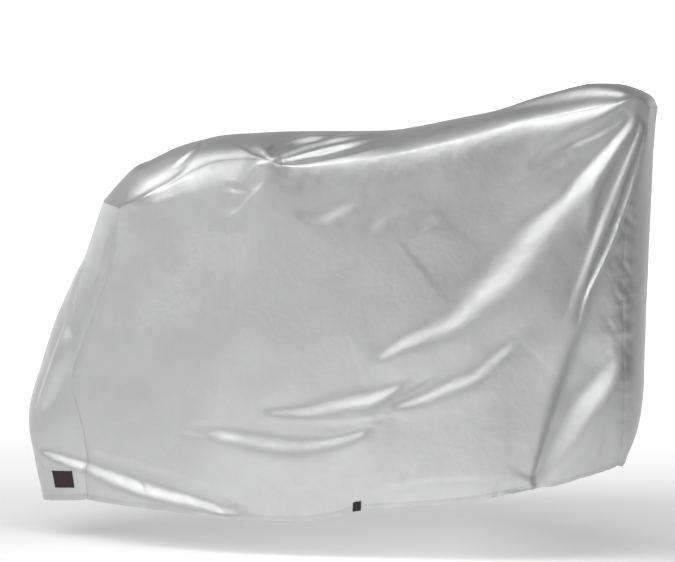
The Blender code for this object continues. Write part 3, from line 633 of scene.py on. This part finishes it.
silver = silver_coating()
normals = outward({name: panel["points"] for name, panel in panels.items()})
for name, panel in panels.items():
    outer = panel["points"]
    lines_in, lines_up = (np.minimum(np.arange(count), np.arange(count)[::-1])
                          for count in outer.shape[:2])
    from_edge = np.minimum(lines_in[:, None], lines_up[None])
    thickness = CLOTH_AT_EDGE + (CLOTH_INSIDE - CLOTH_AT_EDGE) * ease(from_edge / EDGE_LINES)
    inner = outer - panel["normals"] * thickness[..., None]
    drawn = []
    for grid in (outer.copy(), inner.copy()):
        for edge, following in ((0, 1), (-1, -2)):
            for lines in (grid, grid.swapaxes(0, 1)):
                move = lines[following] - lines[edge]
                lines[edge] += move * SEWN_GAP / np.linalg.norm(move, axis=-1, keepdims=True)
        drawn.append(grid)
    flat_places = np.stack([run_along(smooth[name], axis) / 2 for axis in (0, 1)], -1)
    piece = closed_sheet("cloth_" + name, *drawn, flat_places, panel["hem"], silver)
    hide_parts(name)
    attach(piece, "root")
    panel["normals"] = normals[name]
    edges = [np.linalg.norm(np.diff(smooth[name], axis=axis), axis=-1) for axis in (0, 1)]

# ------------------------------------------------------------------------------------------------
# The sewing: one row of lock stitches round the turned-up hem, and one beside each seam of the
# sides. Grey polyester thread, each stitch a short bead that dips into the cloth at both ends.

THREAD = 0.00030
STITCH_LENGTH = 0.0031
STITCH_PITCH = 0.0042
STITCH_BOW = 0.00035
ENDS_SUNK = 0.00015
FROM_SEAM = 0.0035


def thread(name, dark, light):
    """Twisted thread, a little lighter here and darker there."""
    material = bpy.data.materials.new(name)
    surface, add, join = shader(material)
    place = add("TexCoord").outputs["Object"]
    twist = speckle(add, join, place, Scale=700.0, Detail=2.0)
    join(two_tones(add, join, twist, (0.3, dark), (0.7, light)), surface.inputs["Base Color"])
    surface.inputs["Roughness"].default_value = 0.6
    ply = raised(add, join, twist, Strength=0.5, Distance=0.0001)
    join(ply.outputs["Normal"], surface.inputs["Normal"])
    return material


def beside(name, edge, away):
    """A line over a panel, this far from one of its edges, and the way out along it."""
    both = np.concatenate([panels[name]["points"], panels[name]["normals"]], -1)
    upright = both.swapaxes(0, 1)
    both = {"start": both, "end": both[::-1], "foot": upright, "top": upright[::-1]}[edge]
    run = run_along(both[..., :3], 0)
    row = np.array([[np.interp(away, run[:, i], both[:, i, k]) for k in range(6)]
                    for i in range(both.shape[1])])
    return row[:, :3], row[:, 3:]


bpy.ops.object.select_all(action="DESELECT")
bpy.ops.mesh.primitive_uv_sphere_add(segments=6, ring_count=5, radius=1.0)
one_stitch = bpy.context.object
bead = np.array([v.co[:] for v in one_stitch.data.vertices]) * (THREAD, THREAD, STITCH_LENGTH / 2)
bead[:, 1] += STITCH_BOW * (1 - (2 * bead[:, 2] / STITCH_LENGTH) ** 2) - ENDS_SUNK
bead_faces = [list(face.vertices) for face in one_stitch.data.polygons]
bpy.data.objects.remove(one_stitch)


def sew(name, rows, material):
    """Copies of the stitch along rows over the cloth, as one piece."""
    corners, faces = [], []
    for line, outs in rows:
        run = np.r_[0, np.cumsum(np.linalg.norm(np.diff(line, axis=0), axis=1))]

        def at(places, values):
            return np.column_stack([np.interp(places, run, axis) for axis in values.T])

        middles = np.arange(STITCH_PITCH, run[-1] - STITCH_PITCH / 2, STITCH_PITCH)
        ahead = at(middles + 0.001, line) - at(middles - 0.001, line)
        ahead /= np.linalg.norm(ahead, axis=1, keepdims=True)
        out = at(middles, outs)
        out -= (out * ahead).sum(1, keepdims=True) * ahead
        out /= np.linalg.norm(out, axis=1, keepdims=True)
        frames = np.stack([np.cross(out, ahead), out, ahead], 1)
        for copy in np.einsum("vk,skj->svj", bead, frames) + at(middles, line)[:, None]:
            start = len(bead) * len(corners)
            faces += [[start + corner for corner in face] for face in bead_faces]
            corners.append(copy)
    mesh = bpy.data.meshes.new(name)
    mesh.from_pydata(np.concatenate(corners) - (0, 0, HELD_HEIGHT), [], faces)
    mesh.shade_smooth()
    mesh.materials.append(material)
    piece = bpy.data.objects.new(name, mesh)
    bpy.context.scene.collection.objects.link(piece)
    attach(piece, "root")


grey_thread = thread("grey_thread", (0.42, 0.42, 0.43, 1), (0.62, 0.62, 0.62, 1))
sew("stitches_hem", [
    beside("side_left", "foot", FROM_HEM), beside("side_right", "foot", FROM_HEM),
    beside("front_gusset", "start", FROM_HEM), beside("rear_gusset", "start", FROM_HEM),
], grey_thread)
for side in ("side_left", "side_right"):
    sew("stitches_" + side, [beside(side, edge, FROM_SEAM) for edge in ("start", "top", "end")],
        grey_thread)

# ------------------------------------------------------------------------------------------------
# The label: a small dark woven patch, left bare, sewn flat on the left of the nose strip above the
# hem. Its edges are turned under, and one row of dark stitches runs round inside them.

LABEL_UP = (0.042, 0.098)
LABEL_ACROSS = (-0.895, -0.645)
LAID_ON = 0.0004
PATCH = 0.0009
TURNED_UNDER = 0.0055
FROM_PATCH_EDGE = 0.0032


def woven(name, dark, light, pitch, depth):
    """Matte woven polyester, its threads running both ways, with paler places where it is worn."""
    material = bpy.data.materials.new(name)
    surface, add, join = shader(material)
    over, place = add("UVMap"), add("TexCoord").outputs["Object"]
    both = add("Math", operation="MAXIMUM")
    for number, way in enumerate("XY"):
        ribs = add("TexWave", wave_type="BANDS", bands_direction=way, Distortion=0.4,
                   Scale=np.pi / 10 / (pitch / 2))
        join(over.outputs["UV"], ribs.inputs["Vector"])
        join(ribs.outputs["Fac"], both.inputs[number])
    mixed = add("Math", operation="MULTIPLY")
    join(both.outputs[0], mixed.inputs[0])
    join(speckle(add, join, place, Scale=120.0, Detail=4.0, Roughness=0.6), mixed.inputs[1])
    join(two_tones(add, join, mixed.outputs[0], (0.15, dark), (0.65, light)),
         surface.inputs["Base Color"])
    surface.inputs["Roughness"].default_value = 0.75
    weave = raised(add, join, both.outputs[0], Strength=0.6, Distance=depth)
    join(weave.outputs["Normal"], surface.inputs["Normal"])
    return material


def over_panel(name, row_lines, column_lines, rows, columns):
    """A panel's points and the ways out of it, where these rows and columns cross."""
    both = np.concatenate([panels[name]["points"], panels[name]["normals"]], -1)
    for lines, wanted in ((row_lines, rows), (column_lines, columns)):
        place = np.interp(wanted, lines, np.arange(len(lines)))
        first = np.minimum(place.astype(int), len(lines) - 2)
        share = (place - first)[:, None, None]
        both = (both[first] * (1 - share) + both[first + 1] * share).swapaxes(0, 1)
    return both[..., :3], both[..., 3:]


def from_rim(points):
    """How far each point of a grid lies from the grid's nearest edge."""
    down, over = run_along(points, 0), run_along(points, 1)
    return np.minimum(np.minimum(down, down[-1:] - down), np.minimum(over, over[:, -1:] - over))


def flat_grid(points):
    """The grid's places when it is laid flat, in half metres."""
    return np.stack([run_along(points, 0) / 2, run_along(points, 1) / 2], -1)


under, out = over_panel("front_gusset", up, across,
                        np.linspace(*LABEL_UP, 61), np.linspace(*LABEL_ACROSS, 81))
rim = from_rim(under)
proud = LAID_ON + PATCH - 0.0006 * np.exp(-((rim / 0.0007) ** 2))  # its edge is rounded
proud += 0.0004 * (1 - ease((rim - TURNED_UNDER) / 0.001))
proud -= 0.0003 * np.exp(-(((rim - FROM_PATCH_EDGE) / 0.0007) ** 2))
proud += 0.00012 * rumple(under, 0.006)
face_of_label = under + out * proud[..., None]
label_weave = woven("label_weave", (0.014, 0.007, 0.010, 1), (0.042, 0.023, 0.031, 1),
                    pitch=0.0007, depth=0.0002)
label = closed_sheet("cloth_label", face_of_label, under + out * LAID_ON, flat_grid(under),
                     np.zeros(rim.shape), label_weave)
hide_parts("label_patch")
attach(label, "root")
run_along(under, 1)[:, -1].max()
run_along(under, 0)[-1].max()

panels["label"] = {"points": face_of_label, "normals": out}
sew("stitches_label",
    [beside("label", edge, FROM_PATCH_EDGE) for edge in ("start", "end", "foot", "top")],
    thread("dark_thread", (0.030, 0.018, 0.022, 1), (0.085, 0.060, 0.070, 1)))

# ------------------------------------------------------------------------------------------------
# The tab: a short length of black webbing folded over the middle of the left hem, to tie the cover
# down by. Two rows of stitches go through it and the hem.

WEBBING = 0.0016
TAB_WIDTH = 0.024
TAB_UP = 0.0255
TAB_INSIDE = 0.014
TAB_PLACE = 0.532  # share of the hem's length, from the front
BEHIND_CLOTH = 0.0036

hem_length = run_along(panels["side_left"]["points"], 0)[-1, 0]
columns = TAB_PLACE + np.linspace(-0.5, 0.5, 25) * TAB_WIDTH / hem_length
height = run_along(panels["side_left"]["points"], 1)[len(along) // 2, -1]
middle = (LAID_ON - BEHIND_CLOTH) / 2
bend = (LAID_ON + BEHIND_CLOTH + WEBBING) / 2
outside = [(rise, middle + bend) for rise in np.linspace(TAB_UP, 0.001, 30)]
fold = [(-bend * np.sin(angle), middle + bend * np.cos(angle))
        for angle in np.linspace(0, np.pi, 17)]
inside = [(rise, middle - bend) for rise in np.linspace(0.001, TAB_INSIDE, 14)]
profile = np.array(outside + fold + inside)
under, out = over_panel("side_left", along, up, columns, np.clip(profile[:, 0] / height, 0, 1))
upward = under[:, :1] - under[:, len(outside) + 8 : len(outside) + 9]
upward /= np.linalg.norm(upward, axis=-1, keepdims=True)
below = np.minimum(profile[:, 0], 0)[None, :, None]
centre = under + upward * below + out * profile[:, 1][None, :, None]
facing = np.cross(np.gradient(centre, axis=1), np.gradient(centre, axis=0))
facing /= np.linalg.norm(facing, axis=-1, keepdims=True)
half = WEBBING / 2 * (1 - 0.35 * np.exp(-((from_rim(centre) / 0.0009) ** 2)))[..., None]
tab_weave = woven("webbing_weave", (0.006, 0.006, 0.006, 1), (0.030, 0.029, 0.030, 1),
                  pitch=0.0016, depth=0.0005)
face_of_tab, back_of_tab = centre + facing * half, centre - facing * half
tab = closed_sheet("cloth_tab", face_of_tab[:, ::-1], back_of_tab[:, ::-1], flat_grid(centre),
                   np.zeros(half.shape[:2]), tab_weave)
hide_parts("hem_tab")
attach(tab, "root")
run_along(centre, 1)[:, -1].max()

panels["tab"] = {"points": face_of_tab[:, : len(outside)], "normals": facing[:, : len(outside)]}
sew("stitches_tab", [beside("tab", "foot", away) for away in (0.004, 0.013)],
    thread("black_thread", (0.015, 0.015, 0.015, 1), (0.060, 0.060, 0.060, 1)))

# ------------------------------------------------------------------------------------------------
# The studio: a plain pale floor that glows behind the cover and beside it, a soft sky, two soft
# boxes ahead of the cover on its left, a long strip light over its near side, and a camera.

AZIMUTH, ELEVATION = np.radians(12.0), np.radians(5.0)
AWAY = 6.5
METRES_A_PIXEL = 0.00287
PICTURE_WIDTH = 675
MIDDLE = Vector((-0.0117, 0.0, 0.772 - HELD_HEIGHT))

# The floor's glow along x beside the cover, along y beside it, and both behind it, and the sky's
# greys by height ahead of and behind the cover and from its nose to its tail, all as (place, grey)
GLOW_BESIDE_ALONG = ((-5.0, 0.1), (-1.5, 0.36), (0.3, 0.72), (1.2, 0.40), (2.4, 0.05))
GLOW_BESIDE_ACROSS = ((-6.0, 0.05), (-3.0, 0.35), (-1.3, 1.0), (-0.4, 1.0), (0.5, 0.6))
GLOW_BEHIND_ALONG = ((1.5, 1.0), (5.0, 0.35))
GLOW_BEHIND_ACROSS = ((-0.6, 0.25), (0.7, 0.45), (2.5, 0.85), (9.0, 1.15))
SKY_AHEAD = ((0.0, 0.03), (0.5, 0.06))
SKY_BEHIND = ((0.0, 2.4), (0.2, 1.2), (0.4, 0.2), (1.0, 0.08))
AHEAD_TO_BEHIND = ((-0.3, 0.0), (0.3, 1.0))
NOSE_TO_TAIL = ((-1.0, 0.85), (-0.2, 0.95), (0.2, 0.85), (1.0, 0.10))
LIGHTS_AIM = Vector((0, 0, -0.3))

back = Vector((np.sin(AZIMUTH) * np.cos(ELEVATION), -np.cos(AZIMUTH) * np.cos(ELEVATION),
               np.sin(ELEVATION)))
sideways = Vector((np.cos(AZIMUTH), np.sin(AZIMUTH), 0.0))
camera = bpy.data.objects.new("camera", bpy.data.cameras.new("camera"))
bpy.context.scene.collection.objects.link(camera)
camera.data.sensor_width = 36
camera.data.lens = camera.data.sensor_width * AWAY / METRES_A_PIXEL / PICTURE_WIDTH
turn = Matrix((sideways, back.cross(sideways), back)).transposed().to_4x4()
camera.matrix_world = Matrix.Translation(MIDDLE + back * AWAY) @ turn
bpy.context.scene.camera = camera


def greys(add, join, place, stops):
    """A grey that runs through these stops, as (place, grey)."""
    low, high = stops[0][0], stops[-1][0]
    share, ramp = add("MapRange", From_Min=low, From_Max=high), add("ValToRGB")
    join(place, share.inputs["Value"])
    join(share.outputs["Result"], ramp.inputs[0])
    while len(ramp.color_ramp.elements) < len(stops):
        ramp.color_ramp.elements.new(0.5)
    for element, (where, grey) in zip(ramp.color_ramp.elements, stops):
        element.position, element.color = (where - low) / (high - low), (grey, grey, grey, 1)
    return ramp.outputs[0]


def of_both(add, join, operation, first, second):
    """Two strengths joined in one."""
    node = add("Math", operation=operation)
    join(first, node.inputs[0])
    join(second, node.inputs[1])
    return node.outputs[0]


bpy.ops.object.select_all(action="DESELECT")
bpy.ops.mesh.primitive_plane_add(size=600, location=(0, 0, -HELD_HEIGHT))
floor = bpy.context.object
floor.name = "studio_floor"
floor_paint = bpy.data.materials.new("studio_floor")
surface, add, join = shader(floor_paint)
surface.inputs["Base Color"].default_value = (0.62, 0.62, 0.62, 1)
surface.inputs["Roughness"].default_value = 0.9
surface.inputs["Emission Color"].default_value = (1, 1, 1, 1)
parts = add("SeparateXYZ")
join(add("TexCoord").outputs["Object"], parts.inputs[0])
beside_it, behind_it = (
    of_both(add, join, "MULTIPLY", greys(add, join, parts.outputs["X"], stops_along),
            greys(add, join, parts.outputs["Y"], stops_across))
    for stops_along, stops_across in ((GLOW_BESIDE_ALONG, GLOW_BESIDE_ACROSS),
                                      (GLOW_BEHIND_ALONG, GLOW_BEHIND_ACROSS))
)
join(of_both(add, join, "MAXIMUM", behind_it, beside_it), surface.inputs["Emission Strength"])
floor.data.materials.append(floor_paint)

sky = bpy.data.worlds.new("studio")
bpy.context.scene.world = sky
surface, add, join = shader(sky)
toward = add("SeparateXYZ")
join(add("TexCoord").outputs["Generated"], toward.inputs[0])
by_height = add("Mix", data_type="RGBA", blend_type="MIX")
join(greys(add, join, toward.outputs["Y"], AHEAD_TO_BEHIND), by_height.inputs[0])
join(greys(add, join, toward.outputs["Z"], SKY_AHEAD), by_height.inputs[6])
join(greys(add, join, toward.outputs["Z"], SKY_BEHIND), by_height.inputs[7])
lessened = add("Mix", data_type="RGBA", blend_type="MULTIPLY")
lessened.inputs[0].default_value = 1.0
join(by_height.outputs[2], lessened.inputs[6])
join(greys(add, join, toward.outputs["X"], NOSE_TO_TAIL), lessened.inputs[7])
join(lessened.outputs[2], surface.inputs[0])

for name, place, size, watts in (
    ("softbox", (-2.7, -3.2, 2.6), (3.2, 2.4), 86),
    ("softbox_ahead", (-3.8, -1.8, 2.0), (3.0, 2.1), 29),
    ("strip_above", (0.4, -2.6, 4.0), (5.4, 1.3), 152),
):
    light = bpy.data.lights.new(name, "AREA")
    light.shape, light.energy = "RECTANGLE", watts
    light.size, light.size_y = size
    lamp = bpy.data.objects.new(name, light)
    bpy.context.scene.collection.objects.link(lamp)
    lamp.location = place
    lamp.rotation_euler = (LIGHTS_AIM - lamp.location).to_track_quat("-Z", "Y").to_euler()
bpy.context.scene.view_settings.view_transform = "Standard"
